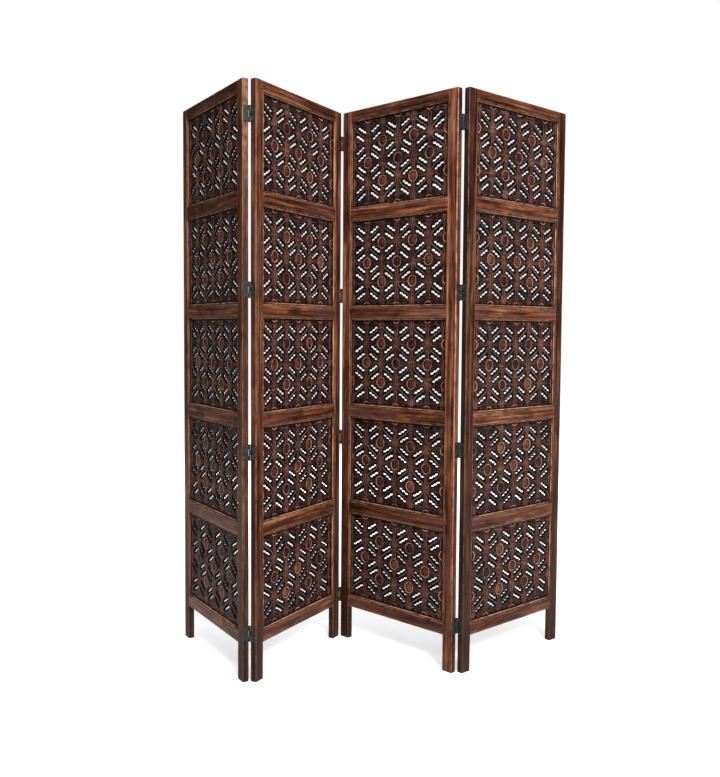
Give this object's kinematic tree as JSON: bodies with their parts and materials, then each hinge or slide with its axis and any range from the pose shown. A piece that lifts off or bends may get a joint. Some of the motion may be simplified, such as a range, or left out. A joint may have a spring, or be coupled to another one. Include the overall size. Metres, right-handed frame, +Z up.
{
  "type": "mashrabiya folding screen",
  "caption": "Tall zigzag folding screen: wooden leaves framing pierced, carved lattice panels with round bosses, hinged edge to edge and standing on short legs.",
  "frame": {"origin": "floor level, under the middle of the standing screen", "axes": "+Z up; +X to the right and +Y away, as seen from the front, where the outer folds point towards the viewer"},
  "size_m": [1.3146, 0.4608, 1.83],
  "materials": {
    "frame_wood": "dark reddish-brown stain and worn satin lacquer over open grain",
    "panel_wood": "carved, stained darker in the hollows, rubbed lighter on the rims",
    "hinge_steel": "dull darkened steel"
  },
  "bodies": {
    "leaf_1": {"leaf_1_frame": "frame_wood", "leaf_1_panel_1": "panel_wood", "leaf_1_panel_2": "panel_wood", "leaf_1_panel_3": "panel_wood", "leaf_1_panel_4": "panel_wood", "leaf_1_panel_5": "panel_wood", "hinge_12_bottom_left_plate": "hinge_steel", "hinge_12_lower_left_plate": "hinge_steel", "hinge_12_upper_left_plate": "hinge_steel", "hinge_12_top_left_plate": "hinge_steel"},
    "leaf_2": {"leaf_2_frame": "frame_wood", "leaf_2_panel_1": "panel_wood", "leaf_2_panel_2": "panel_wood", "leaf_2_panel_3": "panel_wood", "leaf_2_panel_4": "panel_wood", "leaf_2_panel_5": "panel_wood", "hinge_12_bottom_right_plate": "hinge_steel", "hinge_23_bottom_left_plate": "hinge_steel", "hinge_12_lower_right_plate": "hinge_steel", "hinge_23_lower_left_plate": "hinge_steel", "hinge_12_upper_right_plate": "hinge_steel", "hinge_23_upper_left_plate": "hinge_steel", "hinge_12_top_right_plate": "hinge_steel", "hinge_23_top_left_plate": "hinge_steel"},
    "leaf_3": {"leaf_3_frame": "frame_wood", "leaf_3_panel_1": "panel_wood", "leaf_3_panel_2": "panel_wood", "leaf_3_panel_3": "panel_wood", "leaf_3_panel_4": "panel_wood", "leaf_3_panel_5": "panel_wood", "hinge_23_bottom_right_plate": "hinge_steel", "hinge_34_bottom_left_plate": "hinge_steel", "hinge_23_lower_right_plate": "hinge_steel", "hinge_34_lower_left_plate": "hinge_steel", "hinge_23_upper_right_plate": "hinge_steel", "hinge_34_upper_left_plate": "hinge_steel", "hinge_23_top_right_plate": "hinge_steel", "hinge_34_top_left_plate": "hinge_steel"},
    "leaf_4": {"leaf_4_frame": "frame_wood", "leaf_4_panel_1": "panel_wood", "leaf_4_panel_2": "panel_wood", "leaf_4_panel_3": "panel_wood", "leaf_4_panel_4": "panel_wood", "leaf_4_panel_5": "panel_wood", "hinge_34_bottom_right_plate": "hinge_steel", "hinge_34_lower_right_plate": "hinge_steel", "hinge_34_upper_right_plate": "hinge_steel", "hinge_34_top_right_plate": "hinge_steel"}
  },
  "joints": [
    {"name": "fold_12", "type": "hinge", "parent": "leaf_2", "child": "leaf_1", "pos_m": [-0.37774, -0.22051, 0], "axis": [0, 0, 1], "range_deg": [-59, 120]},
    {"name": "fold_23", "type": "hinge", "parent": "leaf_2", "child": "leaf_3", "pos_m": [-0.10954, 0.21586, 0], "axis": [0, 0, 1], "range_deg": [-73.2, 106]},
    {"name": "fold_34", "type": "hinge", "parent": "leaf_3", "child": "leaf_4", "pos_m": [0.26915, -0.12902, 0], "axis": [0, 0, -1], "range_deg": [-91.4, 88]}
  ]
}
